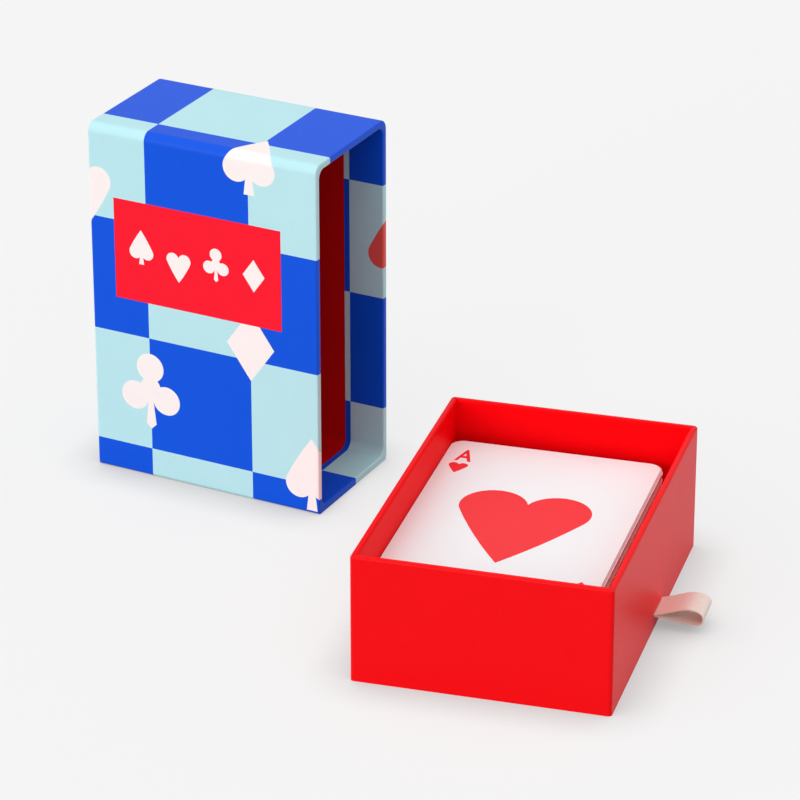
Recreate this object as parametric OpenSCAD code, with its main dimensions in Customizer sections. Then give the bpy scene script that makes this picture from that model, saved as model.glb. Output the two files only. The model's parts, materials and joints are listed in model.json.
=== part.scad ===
// Boxed deck of playing cards: a sleeve that stands on end, the tray drawn out of its mouth,
// and the deck in the tray. The origin is the middle of the sleeve's foot, and +X is the way
// that the sleeve's mouth faces.

/* [Cards] */
// Width of a card
card_w = 57; // [45:0.5:70]
// Length of a card
card_l = 89; // [70:0.5:120]
// Thickness of a card
card_t = 0.32; // [0.25:0.01:0.5]
// Air between two cards that lie on each other
card_air = 0.05; // [0.03:0.01:0.1]
// Radius of a card's corners
card_corner_r = 3.5; // [1:0.1:6]
// How far a single card strays from a square deck
card_stray = 0.3; // [0:0.05:0.4]

/* [Tray] */
// Board of the tray's walls
tray_board_t = 1.4; // [1:0.1:3]
// Board of the tray's base
base_board_t = 3.6; // [1.5:0.1:5]
// Liner left over the ribbon's tail
liner_cover_t = 0.2; // [0.1:0.05:1]
// Play across the deck, both sides together
side_play = 6.4; // [2:0.1:12]
// Play along the deck, both ends together
end_play = 3.9; // [2:0.1:12]
// Gap between the deck and the left wall
deck_left_gap = 0.2; // [0.1:0.1:1]
// Gap between the deck and the front wall
deck_front_gap = 0.5; // [0.1:0.1:1]
// Height of the rim over the top card
head_room = 10.3; // [1:0.1:30]
// Radius of the tray's upright corners
tray_corner_r = 1; // [0.5:0.1:2]

/* [Sleeve] */
// Board of the sleeve
sleeve_board_t = 1.5; // [1:0.1:3]
// Gap between the sleeve's lining and the tray, on each side
slide_gap = 0.4; // [0.2:0.1:1.5]
// Radius of the sleeve's long edges at the top
sleeve_top_r = 2.6; // [0.8:0.1:3]
// Radius of the sleeve's long edges at the foot
sleeve_foot_r = 1; // [0.8:0.1:2]
// How far the wrap is turned in at the mouth
turn_in = 12; // [4:0.5:40]

/* [Paper] */
// Thickness of the wraps, the lining and the foot sheets
paper_t = 0.2; // [0.1:0.05:0.4]

/* [Ribbon] */
// Width of the ribbon
ribbon_w = 10; // [5:0.5:25]
// Thickness of one ply of ribbon
ribbon_t = 0.3; // [0.15:0.05:0.5]
// How far the ribbon sits behind the middle of its wall
ribbon_shift = 3.5; // [-10:0.5:10]
// How far the loop stands out of the wall
loop_l = 13; // [10:0.5:30]
// Radius of the loop's round end
loop_r = 2.4; // [2:0.1:3]
// Rise of the loop at rest, in degrees
loop_rise = 4; // [0:1:8]
// Length of the tail under the liner
tail_l = 12; // [5:0.5:30]
// Gap around the ribbon in its slit
slit_gap = 0.1; // [0.05:0.05:0.3]

/* [Arrangement] */
// Gap between the sleeve's mouth and the nearest corner of the tray
tray_gap = 31; // [5:1:80]
// How far that corner lies in front of the sleeve's middle
tray_forward = 2; // [0:1:60]
// Turn of the tray on the table, in degrees
tray_turn = 11.5; // [0:0.5:30]

/* [Hidden] */
$fn = 64;
overrun = 1;

// The deck, counted from its lowest card
SUITS = ["clubs", "diamonds", "spades", "hearts"];
RANKS = [
    "king", "queen", "jack", "ten", "nine", "eight", "seven",
    "six", "five", "four", "three", "two", "ace"
];
SINGLE_SUITS = [1, 2, 3];
joker_count = 2;
rank_count = len(RANKS);
card_count = joker_count + len(SUITS) * rank_count;
card_pitch = card_t + card_air;
stray_turn_x = 66;
stray_turn_y = 222;

// Heights in the tray
base_top = paper_t + base_board_t;
tail_t = 2 * ribbon_t;
liner_t = tail_t + slit_gap + liner_cover_t;
floor_z = base_top + liner_t;
tray_h = floor_z + card_count * card_pitch + head_room;

// Plan of the tray
tray_wall = tray_board_t + 2 * paper_t;
tray_in_w = card_w + side_play;
tray_in_l = card_l + end_play;
tray_w = tray_in_w + 2 * tray_wall;
tray_l = tray_in_l + 2 * tray_wall;
deck_x = (card_w - tray_in_w) / 2 + deck_left_gap + card_stray;
deck_y = (card_l - tray_in_l) / 2 + deck_front_gap + card_stray;

// The sleeve closes over the tray, which stands on its front end inside
sleeve_wall = sleeve_board_t + 2 * paper_t;
board_in = paper_t + sleeve_board_t;
sleeve_w = tray_w + slide_gap + sleeve_wall;
sleeve_d = tray_h + 2 * slide_gap + 2 * sleeve_wall;
sleeve_h = tray_l + 2 * slide_gap + 2 * sleeve_wall;

// The loop hangs on a round root just outside the wall
root_r = ribbon_t;
root_gap = slit_gap / 2;
root_x = tray_w / 2 + root_gap + root_r;
root_z = base_top + ribbon_t;
loop_reach = loop_l - root_gap - root_r - loop_r;
loop_lean = asin((loop_r - root_r) / loop_reach);
strand = [-sin(loop_lean), cos(loop_lean)];
slit_w = ribbon_w + 2 * slit_gap;
slit_h = tail_t + slit_gap;

board_grey = "#b7afa2";
print_blue = "#2a5ee0";
lining_red = "#b3101c";
tray_red = "#e8101a";
liner_grey = "#8d8a88";
ribbon_cream = "#f2d9c8";
card_white = "#fbf9f8";

function flip(v) = [v.x, -v.y];
function card_name(suit, rank) = str(RANKS[rank], "_of_", SUITS[suit]);
function card_level(suit, rank) = joker_count + suit * rank_count + rank;

BOX_NODES = [
    "sleeve_front_board", "sleeve_back_board", "sleeve_top_board", "sleeve_bottom_board",
    "sleeve_spine_board", "sleeve_wrap", "sleeve_lining", "sleeve_foot_sheet",
    "tray_base_board", "tray_front_wall", "tray_back_wall", "tray_left_wall", "tray_pull_wall",
    "tray_wrap", "tray_foot_sheet", "tray_liner", "ribbon_tail", "pull_ribbon",
    "jokers", "clubs"
];
CARD_NODES = [
    for (suit = SINGLE_SUITS)
        for (rank = [0 : rank_count - 1])
            card_name(suit, rank)
];

// A rectangle with round corners, about the middle
module round_plate(w, l, r) {
    square([w - 2 * r, l], center = true);
    square([w, l - 2 * r], center = true);
    for (x = [-1, 1], y = [-1, 1])
        translate([x * (w / 2 - r), y * (l / 2 - r)])
            circle(r);
}

// The sleeve's section seen along the way the tray slides, drawn in by inset
module sleeve_section(inset) {
    half = sleeve_d / 2 - inset;
    top = sleeve_h - inset;
    top_r = sleeve_top_r - inset;
    foot_r = sleeve_foot_r - inset;
    translate([-half, inset + foot_r])
        square([2 * half, top - top_r - inset - foot_r]);
    translate([-half + top_r, sleeve_h / 2])
        square([2 * (half - top_r), top - sleeve_h / 2]);
    translate([-half + foot_r, inset])
        square([2 * (half - foot_r), sleeve_h / 2 - inset]);
    for (side = [-1, 1]) {
        translate([side * (half - top_r), top - top_r])
            circle(top_r);
        translate([side * (half - foot_r), inset + foot_r])
            circle(foot_r);
    }
}

// A flat shape in the sleeve's section, drawn out between two depths counted from the spine
module along_sleeve(from, to) {
    translate([from - sleeve_w / 2, 0, 0])
        rotate([90, 0, 90])
            linear_extrude(to - from)
                children();
}

// A square-cornered space inside the sleeve, inset from its outside
module sleeve_space(inset, from, to) {
    along_sleeve(from, to)
        translate([inset - sleeve_d / 2, inset])
            square([sleeve_d - 2 * inset, sleeve_h - 2 * inset]);
}

// The sleeve's board body without its hollow, from the spine board to the mouth
module sleeve_board_body() {
    along_sleeve(board_in, sleeve_w - paper_t)
        sleeve_section(paper_t);
}

// A front (-1) or back (1) board of the sleeve
module sleeve_side_board(side) {
    middle = side * (sleeve_d / 2 - paper_t - sleeve_board_t / 2);
    color(board_grey)
        intersection() {
            sleeve_board_body();
            translate([-sleeve_w / 2, middle - sleeve_board_t / 2, 0])
                cube([sleeve_w, sleeve_board_t, sleeve_h]);
        }
}

// A board of the sleeve that lies between the front and back boards, with its lower face at z
module sleeve_level_board(z) {
    color(board_grey)
        intersection() {
            sleeve_board_body();
            translate([-sleeve_w / 2, board_in - sleeve_d / 2, z])
                cube([sleeve_w, sleeve_d - 2 * board_in, sleeve_board_t]);
        }
}

module sleeve_front_board() {
    sleeve_side_board(-1);
}

module sleeve_back_board() {
    sleeve_side_board(1);
}

module sleeve_top_board() {
    sleeve_level_board(sleeve_h - board_in);
}

module sleeve_bottom_board() {
    sleeve_level_board(paper_t);
}

module sleeve_spine_board() {
    color(board_grey)
        along_sleeve(paper_t, board_in)
            sleeve_section(paper_t);
}

// The printed wrap: the outside skin, over the mouth's edge and turned in
module sleeve_wrap() {
    color(print_blue)
        difference() {
            union() {
                difference() {
                    along_sleeve(0, sleeve_w)
                        sleeve_section(0);
                    along_sleeve(paper_t, sleeve_w - paper_t)
                        sleeve_section(paper_t);
                }
                sleeve_space(board_in, sleeve_w - turn_in, sleeve_w - paper_t);
            }
            sleeve_space(sleeve_wall, sleeve_wall, sleeve_w + overrun);
            translate([-sleeve_w, -sleeve_d, -overrun])
                cube([2 * sleeve_w, 2 * sleeve_d, paper_t + overrun]);
        }
}

module sleeve_lining() {
    color(lining_red)
        difference() {
            sleeve_space(board_in, board_in, sleeve_w - turn_in);
            sleeve_space(sleeve_wall, sleeve_wall, sleeve_w);
        }
}

module sleeve_foot_sheet() {
    color(print_blue)
        intersection() {
            along_sleeve(0, sleeve_w)
                sleeve_section(0);
            translate([-sleeve_w, -sleeve_d, 0])
                cube([2 * sleeve_w, 2 * sleeve_d, paper_t]);
        }
}

// Places a piece of the tray, drawn about the middle of its foot, where the tray lies
module in_tray() {
    translate([sleeve_w / 2 + tray_gap, -tray_forward, 0])
        rotate([0, 0, tray_turn])
            translate([tray_w / 2, -tray_l / 2, 0])
                children();
}

// The tray's outside, drawn in by inset, between two heights
module tray_block(inset, from, to) {
    translate([0, 0, from])
        linear_extrude(to - from)
            round_plate(tray_w - 2 * inset, tray_l - 2 * inset, tray_corner_r - inset);
}

// A square-cornered space inside the tray's walls, wider than the tray's inside by margin
module tray_space(margin, from, to) {
    translate([-tray_in_w / 2 - margin, -tray_in_l / 2 - margin, from])
        cube([tray_in_w + 2 * margin, tray_in_l + 2 * margin, to - from]);
}

// The slit that the ribbon passes through, in the pull wall
module ribbon_slit() {
    translate([tray_in_w / 2 - overrun, ribbon_shift - slit_w / 2, base_top])
        cube([tray_wall + 2 * overrun, slit_w, slit_h]);
}

module tray_base_board() {
    color(board_grey)
        in_tray()
            tray_space(paper_t, paper_t, base_top);
}

// A long wall of the tray, on the left (-1) or on the pull side (1)
module tray_long_wall(side) {
    middle = side * (tray_w / 2 - paper_t - tray_board_t / 2);
    color(board_grey)
        in_tray()
            difference() {
                intersection() {
                    tray_block(paper_t, paper_t, tray_h - paper_t);
                    translate([middle - tray_board_t / 2, -tray_l / 2, 0])
                        cube([tray_board_t, tray_l, tray_h]);
                }
                if (side > 0)
                    ribbon_slit();
            }
}

// A short wall of the tray, at the front (-1) or at the back (1), between the long walls
module tray_short_wall(side) {
    middle = side * (tray_l / 2 - paper_t - tray_board_t / 2);
    color(board_grey)
        in_tray()
            translate([-tray_in_w / 2 - paper_t, middle - tray_board_t / 2, paper_t])
                cube([tray_in_w + 2 * paper_t, tray_board_t, tray_h - 2 * paper_t]);
}

module tray_front_wall() {
    tray_short_wall(-1);
}

module tray_back_wall() {
    tray_short_wall(1);
}

module tray_left_wall() {
    tray_long_wall(-1);
}

module tray_pull_wall() {
    tray_long_wall(1);
}

// The red wrap: up the outside, over the rim and down the inside to the base
module tray_wrap() {
    color(tray_red)
        in_tray()
            difference() {
                tray_block(0, paper_t, tray_h);
                difference() {
                    tray_block(paper_t, 0, tray_h - paper_t);
                    tray_space(paper_t, base_top, tray_h);
                }
                tray_space(0, 0, tray_h + overrun);
                ribbon_slit();
            }
}

module tray_foot_sheet() {
    color(tray_red)
        in_tray()
            tray_block(0, 0, paper_t);
}

// The liner on the floor, with a pocket under it for the ribbon's tail
module tray_liner() {
    pocket_l = tail_l + slit_gap;
    color(liner_grey)
        in_tray()
            difference() {
                tray_space(0, base_top, floor_z);
                translate([tray_in_w / 2 - pocket_l, ribbon_shift - slit_w / 2, base_top - overrun])
                    cube([pocket_l + overrun, slit_w, slit_h + overrun]);
            }
}

// The ribbon's two plies, through the slit and glued on the base
module ribbon_tail() {
    color(ribbon_cream)
        in_tray()
            translate([tray_in_w / 2 - tail_l, ribbon_shift - ribbon_w / 2, base_top])
                cube([tail_l + tray_wall, ribbon_w, tail_t]);
}

// A sector of a ring about the middle, on the side that faces x, between the two strands' ends
module ring_sector(inner, outer, side) {
    reach = 2 * outer;
    intersection() {
        difference() {
            circle(outer);
            if (inner > 0)
                circle(inner);
        }
        polygon([
            [0, 0],
            reach * strand,
            [side * reach, reach],
            [side * reach, -reach],
            reach * flip(strand)
        ]);
    }
}

// The loop seen along the wall: a round root, two straight strands and a round end
module loop_section() {
    end = [loop_reach, 0];
    inner_r = loop_r - ribbon_t;
    lower = flip(strand);
    ring_sector(0, root_r, -1);
    polygon([[0, 0], end + inner_r * strand, end + loop_r * strand, root_r * strand]);
    polygon([[0, 0], root_r * lower, end + loop_r * lower, end + inner_r * lower]);
    translate(end)
        ring_sector(inner_r, loop_r, 1);
}

module pull_ribbon() {
    color(ribbon_cream)
        in_tray()
            translate([root_x, ribbon_shift + ribbon_w / 2, root_z])
                rotate([90, -loop_rise, 0])
                    linear_extrude(ribbon_w)
                        loop_section();
}

// One card, counted from the lowest one in the deck
module card(level) {
    color(card_white)
        in_tray()
            translate([
                deck_x + card_stray * sin(level * stray_turn_x),
                deck_y + card_stray * cos(level * stray_turn_y),
                floor_z + level * card_pitch
            ])
                linear_extrude(card_t)
                    round_plate(card_w, card_l, card_corner_r);
}

module jokers() {
    for (level = [0 : joker_count - 1])
        card(level);
}

// The clubs, a group of single cards
module clubs() {
    for (rank = [0 : rank_count - 1])
        card(card_level(0, rank));
}

sleeve_front_board();
sleeve_back_board();
sleeve_top_board();
sleeve_bottom_board();
sleeve_spine_board();
sleeve_wrap();
sleeve_lining();
sleeve_foot_sheet();
tray_base_board();
tray_front_wall();
tray_back_wall();
tray_left_wall();
tray_pull_wall();
tray_wrap();
tray_foot_sheet();
tray_liner();
ribbon_tail();
pull_ribbon();
jokers();
clubs();
for (suit = SINGLE_SUITS)
    for (rank = [0 : rank_count - 1])
        card(card_level(suit, rank));
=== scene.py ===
"""A boxed deck of playing cards: the printed sleeve, the red tray, its ribbon pull and the cards."""

import json
import math

import bmesh
import bpy
from bpy.props import FloatProperty, FloatVectorProperty, PointerProperty
from mathutils import Matrix, Vector


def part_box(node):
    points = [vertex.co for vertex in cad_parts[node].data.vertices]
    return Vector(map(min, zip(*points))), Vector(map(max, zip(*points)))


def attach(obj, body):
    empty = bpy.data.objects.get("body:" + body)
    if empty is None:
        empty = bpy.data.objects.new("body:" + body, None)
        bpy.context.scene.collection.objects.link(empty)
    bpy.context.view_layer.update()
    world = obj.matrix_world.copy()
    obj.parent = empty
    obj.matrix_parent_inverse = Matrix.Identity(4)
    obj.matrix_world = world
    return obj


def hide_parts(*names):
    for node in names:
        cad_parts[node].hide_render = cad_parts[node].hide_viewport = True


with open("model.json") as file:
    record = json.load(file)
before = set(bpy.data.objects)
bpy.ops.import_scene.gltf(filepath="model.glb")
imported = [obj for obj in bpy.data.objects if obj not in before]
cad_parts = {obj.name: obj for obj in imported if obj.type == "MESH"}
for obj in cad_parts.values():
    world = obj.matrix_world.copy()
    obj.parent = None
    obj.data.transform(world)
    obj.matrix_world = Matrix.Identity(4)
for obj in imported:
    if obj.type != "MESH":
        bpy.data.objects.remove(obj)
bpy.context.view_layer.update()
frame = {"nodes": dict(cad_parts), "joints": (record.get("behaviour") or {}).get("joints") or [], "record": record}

bl_info = {
    "name": "Boxed card deck",
    "version": (1, 0, 0),
    "blender": (4, 5, 0),
    "location": "View3D > Sidebar > Card deck",
    "description": "Papers the sleeve and the tray, folds the ribbon pull and prints the cards",
    "category": "Object",
}

MM = 0.001
NEAR = 0.01 * MM
CORNER_STEPS = 8
FOLD_STEPS = 4
SMOOTH_ANGLE = math.radians(35)
ALIGNED = 0.999
TILTED = 0.5
TINY = 1e-6
X, Y, Z = 0, 1, 2


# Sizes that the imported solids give

def points_in(node, place):
    """The points of a CAD node, along the axes of a place."""
    into = place.inverted()
    return [into @ vertex.co for vertex in frame["nodes"][node].data.vertices]


def box_of(points):
    """Lowest and highest corner of some points."""
    axes = list(zip(*points))
    return Vector([min(axis) for axis in axes]), Vector([max(axis) for axis in axes])


def corners_in(node, place):
    """Lowest and highest corner of a CAD node, along the axes of a place."""
    return box_of(points_in(node, place))


mounts = {mount["name"]: Vector(mount["pos_m"]) for mount in frame["record"]["mounts"]}
joints = {joint["name"]: joint for joint in frame["joints"]}
body_of = {
    node: body
    for body, nodes in frame["record"]["behaviour"]["bodies"].items()
    for node in nodes
}
pull_way = Vector(joints["drawer_slide"]["axis"])
tray_turn = math.atan2(pull_way.y, pull_way.x)
tray_place = Matrix.Translation(mounts["tray_foot"]) @ Matrix.Rotation(tray_turn, 4, "Z")

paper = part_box("sleeve_foot_sheet")[1].z
sleeve_low, sleeve_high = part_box("sleeve_wrap")
lining_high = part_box("sleeve_lining")[1]
sleeve_low.z = 0
sleeve_wall = sleeve_high.y - lining_high.y + paper
turn_in = sleeve_high.x - lining_high.x
sleeve_w, sleeve_d, sleeve_h = sleeve_high - sleeve_low

tray_low, tray_high = corners_in("tray_wrap", tray_place)
liner_low, liner_high = corners_in("tray_liner", tray_place)
tail_low, tail_high = corners_in("ribbon_tail", tray_place)
loop_low, loop_high = corners_in("pull_ribbon", tray_place)
tray_wall = tray_high.x - liner_high.x


def srgb(red, green, blue):
    """An 8 bit colour as the linear colour that a shader takes."""
    shares = [value / 255 for value in (red, green, blue)]
    return [s / 12.92 if s <= 0.04045 else ((s + 0.055) / 1.055) ** 2.4 for s in shares] + [1.0]


# Sizes and colours that a user would change

def length(name, description, millimetres):
    """A length property."""
    return FloatProperty(name=name, description=description, default=millimetres * MM, unit="LENGTH")


def colour(name, description, *rgb):
    """A colour property, given as an 8 bit colour."""
    return FloatVectorProperty(
        name=name, description=description, default=srgb(*rgb), subtype="COLOR", size=4, min=0, max=1
    )


class SleeveSettings(bpy.types.PropertyGroup):
    """Folds, print and colours of the sleeve."""

    top_radius: length("Top edge", "Radius of the two long top edges", 2.6)
    foot_radius: length("Foot edge", "Radius of the two long foot edges", 1.0)
    fold_radius: length("Fold", "Radius of the folds round the mouth and the spine", 0.5)
    inner_radius: length("Inner corner", "Radius of the paper in the inner corners", 2.6)
    fold_take: length("Fold allowance", "Paper that the two folds of the mouth take up", 0.75)
    check_w: length("Check width", "Width of one printed check", 31.5)
    check_h: length("Check height", "Height of one printed check", 33.1)
    blue: colour("Blue", "Dark check", 2, 84, 224)
    teal: colour("Teal", "Pale check", 188, 232, 239)
    white: colour("White", "Suit signs", 254, 244, 242)
    red: colour("Red", "Label", 254, 16, 44)
    coral: colour("Coral", "Suit signs on the back", 236, 90, 84)
    lining: colour("Lining", "Paper inside the sleeve", 205, 4, 10)
    board: colour("Board", "Raw box board", 176, 168, 156)


class TraySettings(bpy.types.PropertyGroup):
    """Folds and colours of the tray."""

    corner_radius: length("Corner", "Radius of the upright outer corners", 1.0)
    inner_radius: length("Inner corner", "Radius of the upright inner corners", 0.2)
    rim_radius: length("Rim outside", "Radius of the rim's outer edge", 0.7)
    rim_inner_radius: length("Rim inside", "Radius of the rim's inner edge", 0.7)
    seam_width: length("Mitre width", "Width of the mitred seams on the rim", 0.16)
    seam: colour("Mitre", "Shade in the mitred seams", 120, 0, 6)
    red: colour("Red", "Wrapping paper", 250, 4, 14)
    gloss: FloatProperty(name="Gloss", description="Shine of the paper outside", default=0.11)
    well_gloss: FloatProperty(name="Well gloss", description="Shine of the paper in the well", default=0.02)
    liner: colour("Liner", "Board that the deck lies on", 132, 128, 128)


class RibbonSettings(bpy.types.PropertyGroup):
    """Colour and weave of the ribbon pull."""

    cream: colour("Cream", "Satin in the light", 255, 248, 242)
    shade: colour("Shade", "Satin between its threads", 252, 222, 204)
    thread: length("Thread", "Distance between the ribbon's cross threads", 0.28)


class CardSettings(bpy.types.PropertyGroup):
    """Corners and inks of the cards."""

    corner_radius: length("Corner", "Radius of a card's corners", 3.5)
    edge_radius: length("Edge", "Softening of a card's cut edge", 0.05)
    ink_height: length("Ink", "How far the ink stands proud of the card", 0.01)
    white: colour("White", "Coated card", 250, 252, 254)
    edge: colour("Edge", "Cut edge of a card", 226, 214, 210)
    red: colour("Red", "Ink of the hearts and diamonds", 252, 40, 50)
    black: colour("Black", "Ink of the spades and clubs", 24, 24, 28)
    back: colour("Back", "Lattice on the backs", 26, 66, 170)


class StageSettings(bpy.types.PropertyGroup):
    """Camera, floor and light."""

    camera: FloatVectorProperty(
        name="Camera", description="Place of the camera",
        default=(0.50541, -0.88102, 0.49702), subtype="XYZ",
    )
    tilt: FloatProperty(
        name="Tilt", description="Turn of the camera up from straight down",
        default=math.radians(64.759), subtype="ANGLE",
    )
    turn: FloatProperty(
        name="Turn", description="Turn of the camera about the upright",
        default=math.radians(27.387), subtype="ANGLE",
    )
    lens: FloatProperty(name="Lens", description="Focal length in millimetres", default=183.29)
    floor: colour("Floor", "Seamless studio paper", 245, 245, 245)
    floor_glow: FloatProperty(
        name="Floor glow", description="Share of the floor's tone that shadows leave",
        default=0.8, subtype="FACTOR",
    )
    # The contact shadow is a painted shadow in the floor's glow, not one that a lamp casts.
    contact_reach: length("Contact shadow", "How far the shadow by the foot of the box reaches", 14)
    contact_way: FloatVectorProperty(
        name="Contact way", description="Way that the contact shadow looks for the box",
        default=(-0.8, -0.1, 0.6), subtype="DIRECTION",
    )
    contact_tone: FloatProperty(
        name="Contact tone", description="Tone of the floor in the contact shadow",
        default=0.4, subtype="FACTOR",
    )
    floor_bounce: FloatProperty(
        name="Floor bounce", description="Share of the light that the floor throws back",
        default=0.45, subtype="FACTOR",
    )
    key: FloatVectorProperty(
        name="Key", description="Way to the main light", default=(-0.25, -0.95, 0.15), subtype="DIRECTION"
    )
    key_strength: FloatProperty(name="Key strength", description="Strength of the main light", default=1.2)
    key_size: FloatProperty(
        name="Key size", description="Width of the main light in the sky",
        default=math.radians(32), subtype="ANGLE",
    )
    sky_dim: FloatProperty(name="Dim sky", description="Sky away from the lights", default=0.025)
    dome: FloatVectorProperty(
        name="Dome", description="Way to the middle of the bright part of the sky",
        default=(-0.3, -0.4, 0.87), subtype="DIRECTION",
    )
    sky_dome: FloatProperty(
        name="Dome strength", description="Sky in the middle of its bright part", default=1.2
    )
    side: FloatVectorProperty(
        name="Side", description="Way to the panel that lights the tray's pull side",
        default=(0.75, 0.65, 0.1), subtype="DIRECTION",
    )
    sky_side: FloatProperty(name="Side panel", description="Sky round the side panel", default=1.0)


# Node trees

class Graph:
    """One node tree, and short ways to add nodes to it and wire them."""

    def __init__(self, tree):
        self.tree = tree

    def add(self, kind, **settings):
        """Adds a node."""
        node = self.tree.nodes.new(kind)
        for name, value in settings.items():
            setattr(node, name, value)
        return node

    def feed(self, socket, value):
        """Wires a socket to another one, or sets it to a plain value."""
        if isinstance(value, bpy.types.NodeSocket):
            self.tree.links.new(value, socket)
        elif socket.type == "VECTOR":
            socket.default_value = value[:3]
        else:
            socket.default_value = value

    def math(self, operation, *values):
        """A sum on numbers."""
        node = self.add("ShaderNodeMath", operation=operation)
        for socket, value in zip(node.inputs, values):
            self.feed(socket, value)
        return node.outputs[0]

    def vector(self, operation, *values):
        """A sum on vectors."""
        node = self.add("ShaderNodeVectorMath", operation=operation)
        for socket, value in zip(node.inputs, values):
            self.feed(socket, value)
        return node.outputs["Value" if operation in ("DOT_PRODUCT", "LENGTH") else "Vector"]

    def scaled(self, vector, factor):
        """A vector or a colour times a number."""
        node = self.add("ShaderNodeVectorMath", operation="SCALE")
        self.feed(node.inputs["Vector"], vector)
        self.feed(node.inputs["Scale"], factor)
        return node.outputs["Vector"]

    def split(self, vector):
        """The three numbers of a vector."""
        node = self.add("ShaderNodeSeparateXYZ")
        self.feed(node.inputs[0], vector)
        return node.outputs

    def mix(self, factor, first, second):
        """One colour laid over another by a mask."""
        node = self.add("ShaderNodeMix", data_type="RGBA")
        self.feed(node.inputs[0], factor)
        self.feed(node.inputs[6], first)
        self.feed(node.inputs[7], second)
        return node.outputs[2]

    def noise(self, vector, size, detail=2.0):
        """Soft noise with patches of about one size, in metres."""
        node = self.add("ShaderNodeTexNoise")
        self.feed(node.inputs["Vector"], vector)
        node.inputs["Scale"].default_value = 1 / size
        node.inputs["Detail"].default_value = detail
        return node.outputs[0]

    def ranged(self, value, low, high, to_low=0.0, to_high=1.0):
        """A number moved from one range to another, smoothly and within the limits."""
        node = self.add("ShaderNodeMapRange", interpolation_type="SMOOTHSTEP")
        for socket, number in zip(node.inputs, (value, low, high, to_low, to_high)):
            self.feed(socket, number)
        return node.outputs[0]

    def largest(self, *values):
        """The largest of some numbers, for masks laid side by side."""
        total = values[0]
        for value in values[1:]:
            total = self.math("MAXIMUM", total, value)
        return total

    def smallest(self, *values):
        """The smallest of some numbers, for masks that have to meet."""
        total = values[0]
        for value in values[1:]:
            total = self.math("MINIMUM", total, value)
        return total

    def disc(self, x, y, centre, radius):
        """A mask that is 1 inside a circle."""
        off_x = self.math("SUBTRACT", x, centre.x)
        off_y = self.math("SUBTRACT", y, centre.y)
        square = self.math("ADD", self.math("MULTIPLY", off_x, off_x), self.math("MULTIPLY", off_y, off_y))
        return self.math("LESS_THAN", square, radius**2)

    def use(self, group, **inputs):
        """Places a node group and gives its outputs."""
        node = self.add("ShaderNodeGroup", node_tree=group)
        for name, value in inputs.items():
            self.feed(node.inputs[name], value)
        return node.outputs


def new_group(name, inputs, outputs):
    """An empty node group: its graph, its inputs and its outputs."""
    group = bpy.data.node_groups.new(name, "ShaderNodeTree")
    for socket, kind in inputs.items():
        group.interface.new_socket(name=socket, in_out="INPUT", socket_type="NodeSocket" + kind)
    for socket, kind in outputs.items():
        group.interface.new_socket(name=socket, in_out="OUTPUT", socket_type="NodeSocket" + kind)
    graph = Graph(group)
    given = graph.add("NodeGroupInput").outputs
    result = graph.add("NodeGroupOutput").inputs
    return group, graph, given, result


def new_material(name, roughness, specular):
    """A material with a principled shader: the material, its graph and the shader's inputs."""
    material = bpy.data.materials.new(name)
    material.use_nodes = True
    shader = material.node_tree.nodes["Principled BSDF"].inputs
    shader["Roughness"].default_value = roughness
    shader["Specular IOR Level"].default_value = specular
    return material, Graph(material.node_tree), shader


def object_place(graph):
    """The place on the piece, in metres."""
    return graph.add("ShaderNodeTexCoord").outputs["Object"]


def surface_place(graph, layer):
    """The place on a piece's own flat map, in metres."""
    return graph.add("ShaderNodeUVMap", uv_map=layer).outputs["UV"]


def raise_grain(graph, shader, height, strength, distance):
    """Bumps a surface by a height."""
    bump = graph.add("ShaderNodeBump")
    bump.inputs["Strength"].default_value = strength
    bump.inputs["Distance"].default_value = distance
    graph.feed(bump.inputs["Height"], height)
    graph.feed(shader["Normal"], bump.outputs["Normal"])


# Outlines of the four suit signs, in radii of a lobe

LOBE = Vector((0.948, 0.0))
HEART_TIP = Vector((0.0, -3.44))
HEART_SIDE_RADIUS = 20.0
STEM_NECK = 0.27
STEM_FOOT = Vector((0.40, -1.8))
CLUB_TOP = Vector((0.0, 2.14))
CLUB_LOBE = Vector((1.167, 0.0))
CLUB_HUB = Vector((0.0, 0.72))
CLUB_HUB_RADIUS = 0.75
CLUB_FOOT = Vector((0.37, -1.85))
CLUB_TIP = -2.21
DIAMOND_TIP = 1.407


def circle_cross(first, first_radius, second, second_radius):
    """The two points where two circles meet."""
    along = second - first
    reach = (first_radius**2 - second_radius**2 + along.length_squared) / (2 * along.length)
    aside = math.sqrt(first_radius**2 - reach**2)
    ahead = along.normalized()
    foot = first + reach * ahead
    left = aside * Vector((-ahead.y, ahead.x))
    return foot + left, foot - left


def flipped(point):
    """A point upside down."""
    return Vector((point.x, -point.y))


def arc(centre, start, end, steps):
    """Points clockwise round a centre, from one point to another."""
    radius = (start - centre).length
    first, last = (math.atan2(p.y - centre.y, p.x - centre.x) for p in (start, end))
    if last > first:
        last -= 2 * math.pi
    angles = [first + (last - first) * step / steps for step in range(steps + 1)]
    return [centre + radius * Vector((math.cos(a), math.sin(a))) for a in angles]


heart_notch = Vector((0.0, math.sqrt(1 - LOBE.x**2)))
heart_side = min(
    circle_cross(LOBE, HEART_SIDE_RADIUS - 1, HEART_TIP, HEART_SIDE_RADIUS), key=lambda point: point.x
)
heart_touch = LOBE + (LOBE - heart_side).normalized()
spade_neck = Vector((STEM_NECK, -math.sqrt(1 - (STEM_NECK - LOBE.x) ** 2)))
club_crook = max(circle_cross(CLUB_HUB, CLUB_HUB_RADIUS, CLUB_TOP, 1), key=lambda point: point.x)
club_cheek, club_neck = sorted(
    circle_cross(CLUB_HUB, CLUB_HUB_RADIUS, CLUB_LOBE, 1), key=lambda point: -point.y
)


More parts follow.
